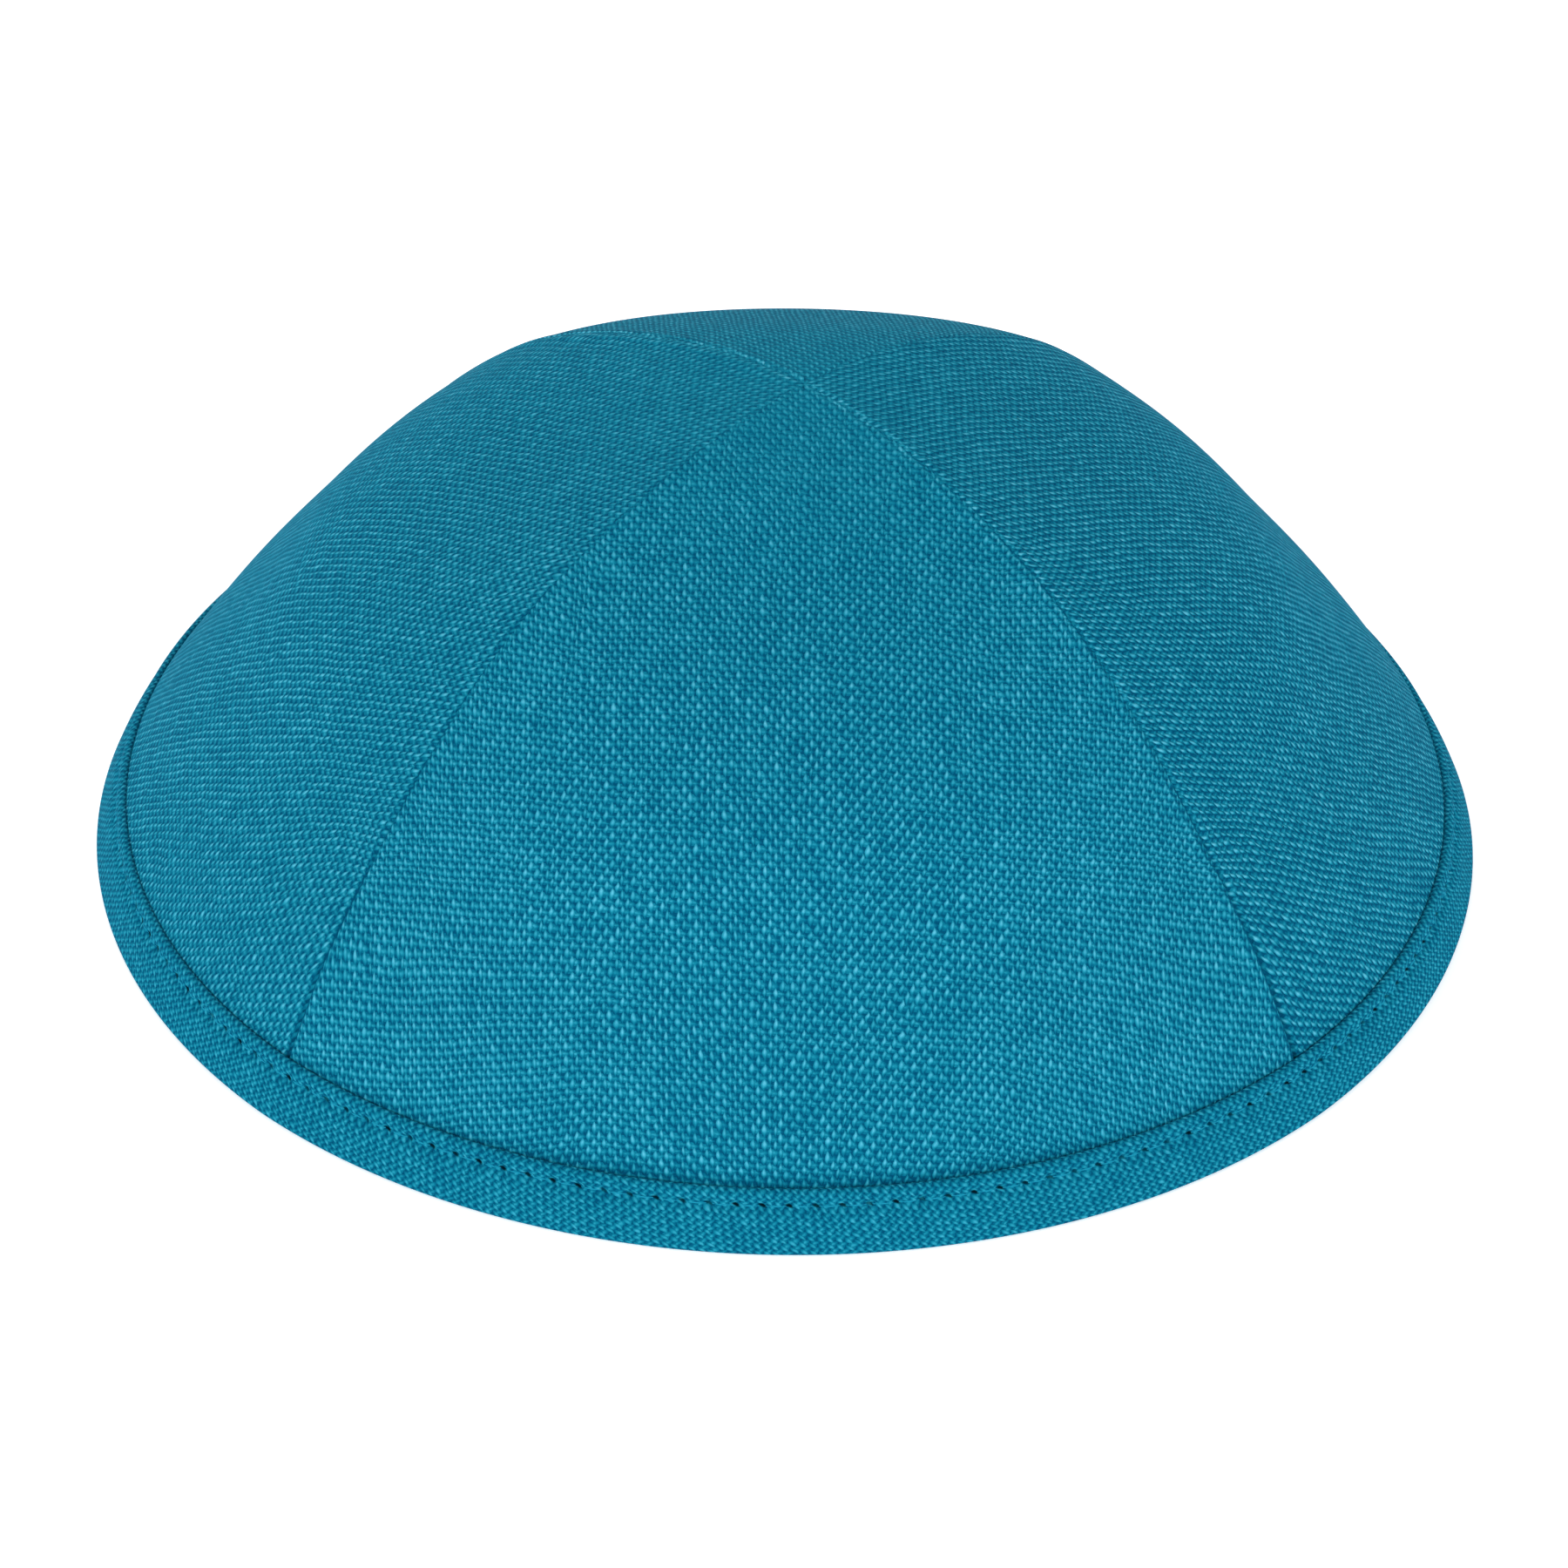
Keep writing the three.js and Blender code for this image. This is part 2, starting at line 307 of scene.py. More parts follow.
def linen_material(name, warp_pitch, weft_pitch, bias, lean, middle_drop, side_drop, contrast, lift=0):
    """The cloth, read from the piece's own map of metres of cloth, turned by the bias angle."""
    material = bpy.data.materials.new(name)
    material.use_nodes = True
    tree = material.node_tree
    surface = tree.nodes["Principled BSDF"]
    cloth_map = tree.nodes.new("ShaderNodeUVMap")
    cloth_map.uv_map = "cloth"
    turned_map = tree.nodes.new("ShaderNodeMapping")
    turned_map.inputs["Rotation"].default_value = (0, 0, bias)
    tree.links.new(cloth_map.outputs["UV"], turned_map.inputs["Vector"])
    count = tree.nodes.new("ShaderNodeVectorMath")
    count.operation = "MULTIPLY"
    count.inputs[1].default_value = (1 / warp_pitch, 1 / weft_pitch, 1)
    tree.links.new(turned_map.outputs["Vector"], count.inputs[0])
    weave = tree.nodes.new("ShaderNodeGroup")
    weave.node_tree = linen_weave
    tree.links.new(count.outputs["Vector"], weave.inputs["Threads"])
    weave.inputs["Lean"].default_value = lean
    apart = tree.nodes.new("ShaderNodeSeparateXYZ")
    tree.links.new(cloth_map.outputs["UV"], apart.inputs[0])
    # Painted sheen: toward the sides the weft drops less and shows paler.
    aside = calculate(tree, "ABSOLUTE", apart.outputs["X"])
    drop = between(tree, aside, WEFT_SHOWS_FROM, WEFT_SHOWS_AT, middle_drop, side_drop)
    tree.links.new(drop, weave.inputs["Weft Drop"])
    ramp = tree.nodes.new("ShaderNodeValToRGB")
    ramp.color_ramp.elements.remove(ramp.color_ramp.elements[1])
    ramp.color_ramp.elements[0].position = LINEN_SHADES[0]["height"]
    ramp.color_ramp.elements[0].color = LINEN_SHADES[0]["colour"]
    for shade in LINEN_SHADES[1:]:
        ramp.color_ramp.elements.new(shade["height"]).color = shade["colour"]
    level = MEAN_SHADE * (1 - contrast) + lift
    shade = calculate(tree, "MULTIPLY_ADD", weave.outputs["Shade"], contrast, level)
    tree.links.new(shade, ramp.inputs["Fac"])
    tree.links.new(ramp.outputs["Color"], surface.inputs["Base Color"])
    bump = tree.nodes.new("ShaderNodeBump")
    bump.inputs["Strength"].default_value = 1
    bump.inputs["Distance"].default_value = YARN_RELIEF * contrast
    tree.links.new(weave.outputs["Height"], bump.inputs["Height"])
    tree.links.new(bump.outputs["Normal"], surface.inputs["Normal"])
    surface.inputs["Roughness"].default_value = 0.9
    surface.inputs["Specular IOR Level"].default_value = 0.02
    surface.inputs["Sheen Weight"].default_value = 0.02
    surface.inputs["Sheen Roughness"].default_value = 0.4
    surface.inputs["Sheen Tint"].default_value = (0.2, 0.7, 0.9, 1)
    return material


# The four panels
# Quarters of the dome, cut in linen with the grain down their middle, sewn edge to edge so that the
# cloth dips into each seam. Their lower edge goes down between the legs of the binding.
# The table gives the seams and the middles of the panels in millimetres, from the crown to the rim.
Section = namedtuple("Section", "seam_radius seam_height middle_radius middle_height")
SECTIONS = [
    Section(0, 60, 0, 60),
    Section(15.3, 58.4, 15, 57.5),
    Section(30.1, 54.1, 29.4, 51.7),
    Section(43.7, 47.3, 43.2, 44.8),
    Section(55.6, 37.6, 55.1, 36),
    Section(66.2, 26, 64.9, 24.3),
    Section(73.6, 16.6, 72.3, 15.4),
    Section(79.3, 6.7, 78.6, 6.6),
    Section(82.5, 0, 82, 0),
]
RIM = len(SECTIONS) - 1
CROWN_HEIGHT = SECTIONS[0].seam_height * MM
CROWN_DRIFT = 1.5 * MM
DRIFT_POWER = 6
CLOTH = 1.2 * MM
TAPE_WIDTH = 7.4 * MM
EDGE_ABOVE_FLOOR = 1.6 * MM
TIP_RADIUS = 0.008 * MM
SEAM_GAP = 0.002 * MM
CROWN_SEAM_DEPTH = 0.03 * MM
RIM_SEAM_DEPTH = 0.50 * MM
SEAM_REACH = 0.30 * MM
RIDGE_HEIGHT = 0.02 * MM
THROUGH_RIDGE_HEIGHT = 0.12 * MM
RIDGE_AT = 1.0 * MM
RIDGE_REACH = 0.7 * MM
# Above the binding the cloth is tucked in at the front, and stands out a little at the sides.
FRONT_TUCK_DEPTH = 0.34 * MM
SIDE_TUCK_DEPTH = -0.15 * MM
TUCK_REACH = 1.5 * MM
TUCK_FRONTAL_POWER = 4
# Painted highlight in patches along the fold of the through seam, fading away from the crown.
FOLD_AT = 0.40 * MM
FOLD_REACH = 0.22 * MM
FOLD_HIGHLIGHT = 0.35
FOLD_FADES_AT_ROW = 4.5
FOLD_FADE_POWER = 4
FOLD_PATCHES = 0.9 / MM
FOLD_PATCH_FROM = 0.40
FOLD_PATCH_TO = 0.62
# Painted shade in the seams, in the groove beside the through seam and in the crease above the binding.
SEAM_SHADE = 0.50
THROUGH_SEAM_SHADE = 0.34
SEAM_SHADE_REACH = 0.16 * MM
GROOVE_SHADE = 0.24
GROOVE_SHADE_REACH = 0.9 * MM
CREASE_SHADE = 0.18
CREASE_SHADE_REACH = 0.7 * MM
# Round the crown, where the light falls more squarely, the weave's painted light and shade and its tone vary
# less.
CROWN_CALM = 0.34
CROWN_CALM_ROWS = 1.7
PANEL_ROWS = 110
PANEL_HALF_COLUMNS = 60
COLUMN_CROWDING = 1.8
SHARP_FROM = math.radians(50)
MIDDLE_LINE_START = -0.5
MIDDLE_LINE_POINTS = 1200
LATERAL_RADIUS = 85 * MM
EASED_FROM = 22 * MM
EASED_TO = 45 * MM
EASED_AROUND = 75 * MM
EASED_ACROSS = 0.15
EASED_ALONG = 0.17
QUARTER = math.pi / 2
Panel = namedtuple("Panel", "name facing grain_turn weft_skew lean middle_drop side_drop contrast")
PANELS = [
    Panel("panel_front", -QUARTER, 0, 0.09, 0, 0.40, 0.12, 0.60),
    Panel("panel_right", 0, 0, 0, 0.08, 0.46, 0.42, 0.68),
    Panel("panel_back", QUARTER, 0, 0, 0, 0.40, 0.30, 0.58),
    Panel("panel_left", 2 * QUARTER, math.radians(5), 0, -0.08, 0.46, 0.32, 0.60),
]


def fading(distance, reach):
    """1 at no distance, and less and less with it: about a third at the reach."""
    return np.exp(-((distance / reach) ** 2))


def profile(radius_column, height_column, row):
    """Radius and height on a centripetal Catmull-Rom curve through two columns of the table."""
    points = np.array([[getattr(s, radius_column), getattr(s, height_column)] for s in SECTIONS]) * MM
    points = np.vstack([points[1] * (-1, 1), points, 2 * points[-1] - points[-2]])
    start = np.clip(np.floor(row).astype(int), 0, RIM - 1)
    share = (row - start)[..., None]
    corners = [points[start + i] for i in range(4)]
    p0, p1, p2, p3 = corners
    chords = [np.linalg.norm(b - a, axis=-1) for a, b in zip(corners, corners[1:])]
    d01, d12, d23 = (np.sqrt(chord)[..., None] for chord in chords)
    leave = ((p1 - p0) / d01 - (p2 - p0) / (d01 + d12) + (p2 - p1) / d12) * d12
    arrive = ((p2 - p1) / d12 - (p3 - p1) / (d12 + d23) + (p3 - p2) / d23) * d12
    square = -3 * p1 + 3 * p2 - 2 * leave - arrive
    cube = 2 * p1 - 2 * p2 + leave + arrive
    return p1 + leave * share + square * share**2 + cube * share**3


def cap_profile(row, azimuth):
    """Radius and height of the cap's outer face: flatter down the panels than down the seams."""
    from_middle = np.abs(azimuth - QUARTER * np.round(azimuth / QUARTER))
    seam_share = (1 - np.cos(2 * from_middle))[..., None]
    middle = profile("middle_radius", "middle_height", row)
    seam = profile("seam_radius", "seam_height", row)
    return middle * (1 - seam_share) + seam * seam_share


def outward(row, azimuth):
    step = 0.01
    run = cap_profile(np.minimum(row + step, RIM), azimuth) - cap_profile(row - step, azimuth)
    run /= np.linalg.norm(run, axis=-1, keepdims=True)
    return np.stack([-run[..., 1], run[..., 0]], axis=-1)


def cap_point(row, azimuth, out):
    """Points of the cap a distance out from the panels' outer face, in the upright plane at an azimuth."""
    row, azimuth, out = np.broadcast_arrays(row, azimuth, out)
    face = cap_profile(row, azimuth)
    moved = face + outward(row, azimuth) * out[..., None]
    drift = CROWN_DRIFT * np.clip(face[..., 1] / CROWN_HEIGHT, 0, 1) ** DRIFT_POWER
    x = moved[..., 0] * np.cos(azimuth) + drift
    y = moved[..., 0] * np.sin(azimuth)
    return np.stack([x, y, moved[..., 1]], axis=-1)


def row_above(up_slope, azimuth, out):
    """The row of the table that lies a distance up the slope from the floor."""
    direction = outward(np.full_like(azimuth, RIM, dtype=float), azimuth)
    from_rim = up_slope - out * direction[..., 1] / direction[..., 0]
    return RIM - np.maximum(from_rim, 0) / TAPE_WIDTH


def cloth_map_of(points, facing, grain_turn, weft_skew):
    """Metres of cloth across and along the grain, from the nearest point of the line down the middle.

    Toward the seams the cloth is drawn together across the grain and stretched along it.
    """
    rows = np.linspace(MIDDLE_LINE_START, RIM, MIDDLE_LINE_POINTS)
    line = cap_point(rows, np.full_like(rows, facing), np.zeros_like(rows))
    steps = np.diff(line, axis=0)
    lengths = np.linalg.norm(steps, axis=1)
    down = np.concatenate([[0], np.cumsum(lengths)])
    tangents = np.vstack([steps / lengths[:, None], steps[-1:] / lengths[-1]])
    sideways = np.array([-math.sin(facing), math.cos(facing), 0])
    mapped = np.empty(points.shape[:-1] + (2,))
    for i, row_points in enumerate(points):
        offsets = row_points[:, None, :] - line[None, :, :]
        nearest = np.argmin((offsets**2).sum(-1), axis=1)
        chosen = np.arange(len(row_points))
        along = (offsets[chosen, nearest] * tangents[nearest]).sum(-1)
        chord = np.linalg.norm(offsets[chosen, nearest] - along[:, None] * tangents[nearest], axis=1)
        arc = 2 * LATERAL_RADIUS * np.arcsin(chord / 2 / LATERAL_RADIUS)
        mapped[i, :, 0] = arc * np.sign(offsets[chosen, nearest] @ sideways)
        mapped[i, :, 1] = down[nearest] + along
    across, along = mapped[..., 0].copy(), mapped[..., 1].copy()
    share = np.clip((np.abs(across) - EASED_FROM) / (EASED_TO - EASED_FROM), 0, 1)
    drawn = np.sign(across) * EASED_ACROSS * (EASED_TO - EASED_FROM) * share**2 / 2
    stretched = EASED_ALONG * share * (along - EASED_AROUND)
    turn_cos, turn_sin = math.cos(grain_turn), math.sin(grain_turn)
    mapped[..., 0] = across * turn_cos + along * turn_sin + drawn
    mapped[..., 1] = along * turn_cos - across * (turn_sin + weft_skew) - stretched
    return mapped


def grid_faces(rows, columns, start, flipped):
    corners = start + np.arange(rows * columns).reshape(rows, columns)
    a, b, c, d = corners[:-1, :-1], corners[1:, :-1], corners[1:, 1:], corners[:-1, 1:]
    order = (a, d, c, b) if flipped else (a, b, c, d)
    return np.stack(order, axis=-1).reshape(-1, 4)


def cloth_object(name, points, faces, mapped, material):
    """A mesh object with its cloth map, smooth but for its sharp edges."""
    mesh = bpy.data.meshes.new(name)
    mesh.from_pydata(points.tolist(), [], faces.tolist())
    layer = mesh.uv_layers.new(name="cloth")
    vertex_of_loop = np.empty(len(mesh.loops), dtype=np.int32)
    mesh.loops.foreach_get("vertex_index", vertex_of_loop)
    layer.data.foreach_set("uv", mapped[vertex_of_loop].astype(np.float32).ravel())
    mesh.materials.append(material)
    mesh.shade_smooth()
    mesh.set_sharp_from_angle(angle=SHARP_FROM)
    made = bpy.data.objects.new(name, mesh)
    scene.collection.objects.link(made)
    return made


def shade_edges(material):
    """Paints highlight in patches along the folded edge of a seam, and paints shade down in the seams and
    creases.

    Round the crown, where the light falls more squarely, the weave's tone and its painted light and shade vary
    less.
    """
    tree = material.node_tree
    fold_highlight = tree.nodes.new("ShaderNodeAttribute")
    fold_highlight.attribute_name = "fold_highlight"
    place = tree.nodes.new("ShaderNodeTexCoord")
    patches = tree.nodes.new("ShaderNodeTexNoise")
    patches.inputs["Scale"].default_value = FOLD_PATCHES
    patches.inputs["Detail"].default_value = 1
    tree.links.new(place.outputs["Object"], patches.inputs["Vector"])
    patch = between(tree, patches.outputs["Fac"], FOLD_PATCH_FROM, FOLD_PATCH_TO, 0.0, FOLD_HIGHLIGHT)
    ramp = next(node for node in tree.nodes if node.type == "VALTORGB")
    cloth_shade = ramp.inputs["Fac"].links[0].from_socket
    weave_contrast = tree.nodes.new("ShaderNodeAttribute")
    weave_contrast.attribute_name = "weave_contrast"
    raised = calculate(tree, "SUBTRACT", cloth_shade, MEAN_SHADE)
    calmed = calculate(tree, "MULTIPLY_ADD", raised, weave_contrast.outputs["Fac"], MEAN_SHADE)
    # Painted highlight in patches along the seam's fold.
    lighter = calculate(tree, "MULTIPLY_ADD", fold_highlight.outputs["Fac"], patch, calmed)
    painted_seam_and_crease_shade = tree.nodes.new("ShaderNodeAttribute")
    painted_seam_and_crease_shade.attribute_name = "painted_seam_and_crease_shade"
    # Painted shade darkens the colour in the seams and creases.
    tree.links.new(calculate(tree, "ADD", lighter, painted_seam_and_crease_shade.outputs["Fac"]), ramp.inputs["Fac"])


def panel_object(panel):
    facing = panel.facing
    rows, half_columns = PANEL_ROWS, PANEL_HALF_COLUMNS
    bottom = RIM - (EDGE_ABOVE_FLOOR + CLOTH / 2) / TAPE_WIDTH
    row = np.linspace(TIP_RADIUS / (SECTIONS[1].middle_radius * MM), bottom, rows)[:, None]
    step = np.linspace(-1, 1, 2 * half_columns + 1)[None, :]
    across = np.sign(step) * (1 - (1 - np.abs(step)) ** COLUMN_CROWDING)
    radius = cap_profile(row, np.full_like(row, facing))[..., 0]
    half_angle = QUARTER / 2 - np.arcsin(SEAM_GAP / radius)
    azimuth = facing + half_angle * across
    row = np.broadcast_to(row, azimuth.shape)
    from_seam = radius * np.sin(QUARTER / 2 - np.abs(azimuth - facing))
    seam_depth = CROWN_SEAM_DEPTH + (RIM_SEAM_DEPTH - CROWN_SEAM_DEPTH) * (row / RIM) ** 2
    dip = -seam_depth * fading(from_seam, SEAM_REACH)
    # The seam from the back left to the front right runs through the crown in one line.
    through = np.cos(azimuth) * np.sin(azimuth) < 0
    ridge = np.where(through, THROUGH_RIDGE_HEIGHT, RIDGE_HEIGHT)
    dip = dip + ridge * fading(from_seam - RIDGE_AT, RIDGE_REACH)
    above_binding = np.maximum((RIM - 1 - row) * TAPE_WIDTH, 0)
    frontal = np.clip(-np.sin(azimuth), 0, 1) ** TUCK_FRONTAL_POWER
    tuck = SIDE_TUCK_DEPTH + (FRONT_TUCK_DEPTH - SIDE_TUCK_DEPTH) * frontal
    dip = dip - tuck * fading(above_binding, TUCK_REACH)
    outer = cap_point(row, azimuth, dip)
    inner = cap_point(row, azimuth, np.full_like(azimuth, -CLOTH))
    face = cap_point(row, azimuth, np.zeros_like(azimuth))
    mapped = cloth_map_of(face, facing, panel.grain_turn, panel.weft_skew).reshape(-1, 2)
    columns = 2 * half_columns + 1
    count = rows * columns
    number = np.arange(count).reshape(rows, columns)
    border = np.concatenate([number[:, 0], number[-1, 1:], number[-2::-1, -1], number[0, -2:0:-1]])
    following = np.roll(border, -1)
    rim = np.stack([border, border + count, following + count, following], axis=-1)
    faces = np.vstack([
        grid_faces(rows, columns, 0, False),
        grid_faces(rows, columns, count, True),
        rim,
    ])
    points = np.vstack([outer.reshape(-1, 3), inner.reshape(-1, 3)])
    linen = linen_material(
        panel.name + " linen", WARP.pitch, WEFT.pitch, 0, panel.lean,
        panel.middle_drop, panel.side_drop, panel.contrast
    )
    made = cloth_object(panel.name + "_cloth", points, faces, np.vstack([mapped, mapped]), linen)
    # Painted highlight along the fold of the through seam, near the crown.
    fold_highlight = fading(from_seam - FOLD_AT, FOLD_REACH) * through
    fold_highlight = fold_highlight * np.exp(-((row / FOLD_FADES_AT_ROW) ** FOLD_FADE_POWER))
    # Painted shade in the seams, more towards the rim.
    seam_shade = np.where(through, THROUGH_SEAM_SHADE, SEAM_SHADE) * fading(from_seam, SEAM_SHADE_REACH)
    # The painted shade of the groove beside it lies on the front and the back panel.
    grooved = through * (np.abs(np.sin(facing)) > np.abs(np.cos(facing)))
    groove_shade = grooved * GROOVE_SHADE * fading(from_seam, GROOVE_SHADE_REACH)
    painted_seam_and_crease_shade = -(seam_shade + groove_shade) * row / RIM
    # Painted shade in the crease above the binding, mostly at the front.
    painted_seam_and_crease_shade = painted_seam_and_crease_shade - CREASE_SHADE * frontal * fading(above_binding, CREASE_SHADE_REACH)
    # Less painted light and shade in the weave round the crown.
    weave_contrast = 1 - CROWN_CALM * fading(row, CROWN_CALM_ROWS)
    for name, values in (("fold_highlight", fold_highlight), ("painted_seam_and_crease_shade", painted_seam_and_crease_shade), ("weave_contrast", weave_contrast)):
        layer = made.data.attributes.new(name, "FLOAT", "POINT")
        layer.data.foreach_set("value", np.tile(values.ravel(), 2).astype(np.float32))
    shade_edges(linen)
    return made


for panel in PANELS:
    made = panel_object(panel)
    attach(made, "root")
    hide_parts(panel.name)

# Rim binding
# A bias strip of the same linen, folded round the panels' lower edge and pressed, and turned under
# along its upper edges. It stands a little proud of the panels and is drawn in along the stitching.
# Sewn on under tension, it has grown longer and narrower, so its threads cross flatter than on the bias.
TAPE_PROUD = 0.9 * MM
TAPE_GAP = 0.06 * MM
TAPE_FACE_FROM = TAPE_GAP * 1.1
TAPE_ROLL = 0.45 * MM
POCKET_BELOW_EDGE = 0.3 * MM
FOOT_HEIGHT = 0.6 * MM
THINNER_AT = math.radians(30)
THINNER_REACH = math.radians(17)
THINNER_BY = 0.62 * MM
STITCHES = 174
STITCH_BELOW_EDGE = 1.7 * MM
FIRST_HOLE = math.radians(91.6)
STEPS_PER_STITCH = 8
GROOVE_DEPTH = 0.22 * MM
GROOVE_REACH = 0.55 * MM
DIMPLE_DEPTH = 0.30 * MM
DIMPLE_LENGTH = 0.60 * MM
# Each needle hole is a slanting slit painted dark as shade; the cloth is only dimpled there.
HOLE_LENGTH = 0.95 * MM
HOLE_WIDTH = 0.40 * MM
HOLE_SLANT = 0.25
HOLE_FULL_TO = 0.3
HOLE_FADES_TO = 1.4
HOLE_SHADE_COLOUR = (0.0, 0.008, 0.016, 1)
CLOSED_HOLE = 0.55
PARTLY_CLOSED = 0.7
BELLY = 0.12 * MM
NARROWING = 1.27
BINDING_WEFT_DROP = 0.05
BINDING_CONTRAST = 0.50
BINDING_LIFT = -0.10
RIM_RADIUS = SECTIONS[-1].middle_radius * MM
STITCH_PITCH = 2 * math.pi * RIM_RADIUS / STITCHES
FOOT_POINTS = 6
OUTER_FACE_POINTS = 26
INNER_FACE_POINTS = 16
ROLL_POINTS = 7


def pressed_in(azimuth):
    """How much nearer to the panels the strip's faces lie toward the back on the right."""
    turn = (azimuth - THINNER_AT + math.pi) % (2 * math.pi) - math.pi
    return THINNER_BY * fading(turn, THINNER_REACH)


def tape_leg(edge, hidden, face_points):
    """Half of the strip's section, from the middle of its foot over the upper fold, as up and out."""
    middle = -CLOTH / 2
    shoulder = TAPE_WIDTH - TAPE_ROLL
    turn = np.linspace(0, QUARTER, FOOT_POINTS)
    foot = np.stack([FOOT_HEIGHT * (1 - np.cos(turn)), middle + (edge - middle) * np.sin(turn)], axis=-1)
    face = np.stack([np.linspace(FOOT_HEIGHT, shoulder, face_points), np.full(face_points, edge)], axis=-1)
    turn = np.linspace(0, 2 * QUARTER, ROLL_POINTS)
    roll_out = (edge + hidden) / 2 + (edge - hidden) / 2 * np.cos(turn)
    roll = np.stack([shoulder + TAPE_ROLL * np.sin(turn), roll_out], axis=-1)
    return np.vstack([foot, face[1:], roll[1:], [(EDGE_ABOVE_FLOOR - POCKET_BELOW_EDGE, hidden)]])


def binding_object(name, material):
    outer = tape_leg(TAPE_PROUD, TAPE_GAP, OUTER_FACE_POINTS)
    inner = tape_leg(-CLOTH - TAPE_PROUD, -CLOTH - TAPE_GAP, INNER_FACE_POINTS)
    section = np.vstack([outer, inner[:0:-1]])
    up_slope, out = section[:, 0], section[:, 1]
    steps = STITCHES * STEPS_PER_STITCH
    azimuth = FIRST_HOLE + np.arange(steps)[:, None] * 4 * QUARTER / steps
    number = np.arange(steps)[:, None] / STEPS_PER_STITCH
    to_hole = (number - np.round(number)) * STITCH_PITCH
    from_line = up_slope - (TAPE_WIDTH - STITCH_BELOW_EDGE)
    face_side = np.where(out > TAPE_FACE_FROM, 1, 0) - np.where(out < -CLOTH - TAPE_FACE_FROM, 1, 0)
    drawn_in = GROOVE_DEPTH + DIMPLE_DEPTH * fading(to_hole, DIMPLE_LENGTH)
    drawn_in = drawn_in * fading(from_line, GROOVE_REACH)
    belly = BELLY * np.sin(math.pi * np.clip(up_slope / (TAPE_WIDTH - STITCH_BELOW_EDGE), 0, 1))
    out = out + face_side * (belly - drawn_in - pressed_in(azimuth))
    azimuth, up_slope = np.broadcast_to(azimuth, out.shape), np.broadcast_to(up_slope, out.shape)
    points = cap_point(row_above(up_slope, azimuth, out), azimuth, out)
    points[..., 2] = np.where(up_slope <= 0, 0, np.maximum(points[..., 2], 0))
    around = len(section)
    corner = np.arange(steps * around).reshape(steps, around)
    next_step = np.roll(corner, -1, axis=0)
    faces = np.stack([corner, next_step, np.roll(next_step, -1, axis=1), np.roll(corner, -1, axis=1)], axis=-1)
    mesh = bpy.data.meshes.new(name)
    mesh.from_pydata(points.reshape(-1, 3).tolist(), [], faces.reshape(-1, 4).tolist())
    lengths = np.linalg.norm(np.diff(section, axis=0, append=section[:1]), axis=1)
    across = np.concatenate([[0], np.cumsum(lengths)]) * NARROWING
    line = np.append(from_line, from_line[0])
    along = np.arange(steps + 1) * STITCH_PITCH / STEPS_PER_STITCH
    near, far = np.repeat(along[:-1], around), np.repeat(along[1:], around)
    for map_name, down in (("cloth", across), ("stitching", line)):
        low, high = np.tile(down[:-1], steps), np.tile(down[1:], steps)
        corners = np.stack([near, low, far, low, far, high, near, high], axis=-1)
        mesh.uv_layers.new(name=map_name).data.foreach_set("uv", corners.astype(np.float32).ravel())
    mesh.materials.append(material)
    mesh.shade_smooth()
    made = bpy.data.objects.new(name, mesh)
    scene.collection.objects.link(made)
    return made


def closed_pitch(pitch):
    """The pitch nearest to the cloth's own with which the bias weave closes round the rim."""
    diagonal = 2 * math.pi * RIM_RADIUS * math.sqrt(0.5)
    return diagonal / (2 * round(diagonal / (2 * pitch)))


def needle_holes(material):
    """Paints shade into a slanting slit at every stitch, the needle hole where the thread goes down."""
    tree = material.node_tree
    surface = tree.nodes["Principled BSDF"]
    stitch_map = tree.nodes.new("ShaderNodeUVMap")
    stitch_map.uv_map = "stitching"
    apart = tree.nodes.new("ShaderNodeSeparateXYZ")
    tree.links.new(stitch_map.outputs["UV"], apart.inputs[0])
    number = calculate(tree, "MULTIPLY_ADD", apart.outputs["X"], 1 / STITCH_PITCH, 0.5)
    stitch_share = calculate(tree, "SUBTRACT", calculate(tree, "FRACT", number), 0.5)
    along = calculate(tree, "MULTIPLY", stitch_share, STITCH_PITCH)
    down = calculate(tree, "MULTIPLY_ADD", along, HOLE_SLANT, apart.outputs["Y"])
    long_share = calculate(tree, "MULTIPLY", along, 2 / HOLE_LENGTH)
    wide_share = calculate(tree, "MULTIPLY", down, 2 / HOLE_WIDTH)
    long_square = calculate(tree, "POWER", long_share, 2.0)
    wide_square = calculate(tree, "POWER", wide_share, 2.0)
    reach = calculate(tree, "ADD", long_square, wide_square)
    chance = tree.nodes.new("ShaderNodeTexWhiteNoise")
    chance.noise_dimensions = "1D"
    tree.links.new(calculate(tree, "FLOOR", number), chance.inputs["W"])
    openness = between(tree, chance.outputs["Value"], 0.0, PARTLY_CLOSED, CLOSED_HOLE, 1.0)
    hole = calculate(tree, "MULTIPLY", between(tree, reach, HOLE_FULL_TO, HOLE_FADES_TO, 1.0, 0.0), openness)
    holed = tree.nodes.new("ShaderNodeMix")
    holed.data_type = "RGBA"
    cloth_colour = surface.inputs["Base Color"].links[0].from_socket
    tree.links.new(hole, holed.inputs["Factor"])
    tree.links.new(cloth_colour, holed.inputs[6])
    holed.inputs[7].default_value = HOLE_SHADE_COLOUR
    tree.links.new(holed.outputs[2], surface.inputs["Base Color"])


binding_linen = linen_material(
    "binding linen", closed_pitch(WARP.pitch), closed_pitch(WEFT.pitch), -QUARTER / 2, 0,
    BINDING_WEFT_DROP, BINDING_WEFT_DROP, BINDING_CONTRAST, BINDING_LIFT
)
needle_holes(binding_linen)
binding = binding_object("rim_binding_cloth", binding_linen)
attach(binding, "root")
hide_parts("rim_binding")

